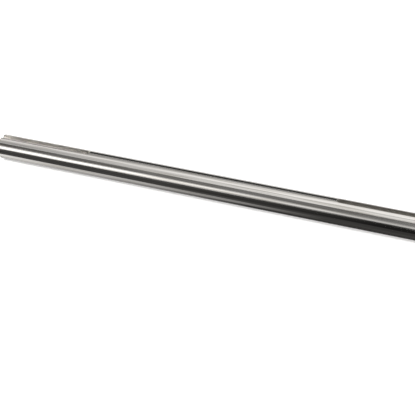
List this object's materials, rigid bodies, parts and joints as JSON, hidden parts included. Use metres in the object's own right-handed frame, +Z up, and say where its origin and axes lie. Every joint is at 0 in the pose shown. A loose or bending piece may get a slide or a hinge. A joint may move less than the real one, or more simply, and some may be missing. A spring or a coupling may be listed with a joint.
{
  "type": "keyed round shaft",
  "caption": "Ground steel round shaft with chamfered ends and an open-ended keyway milled in from each end, standing on one end.",
  "frame": {"origin": "on the floor, at the middle of the lower end", "axes": "+Z up along the shaft, -Y out of the open side of both keyways"},
  "size_m": [0.0126, 0.0126, 0.2286],
  "materials": {
    "ground_steel": "bright ground steel with fine grinding marks, keyways with milled floors"
  },
  "bodies": {
    "root": {"shaft": "ground_steel"}
  },
  "joints": []
}
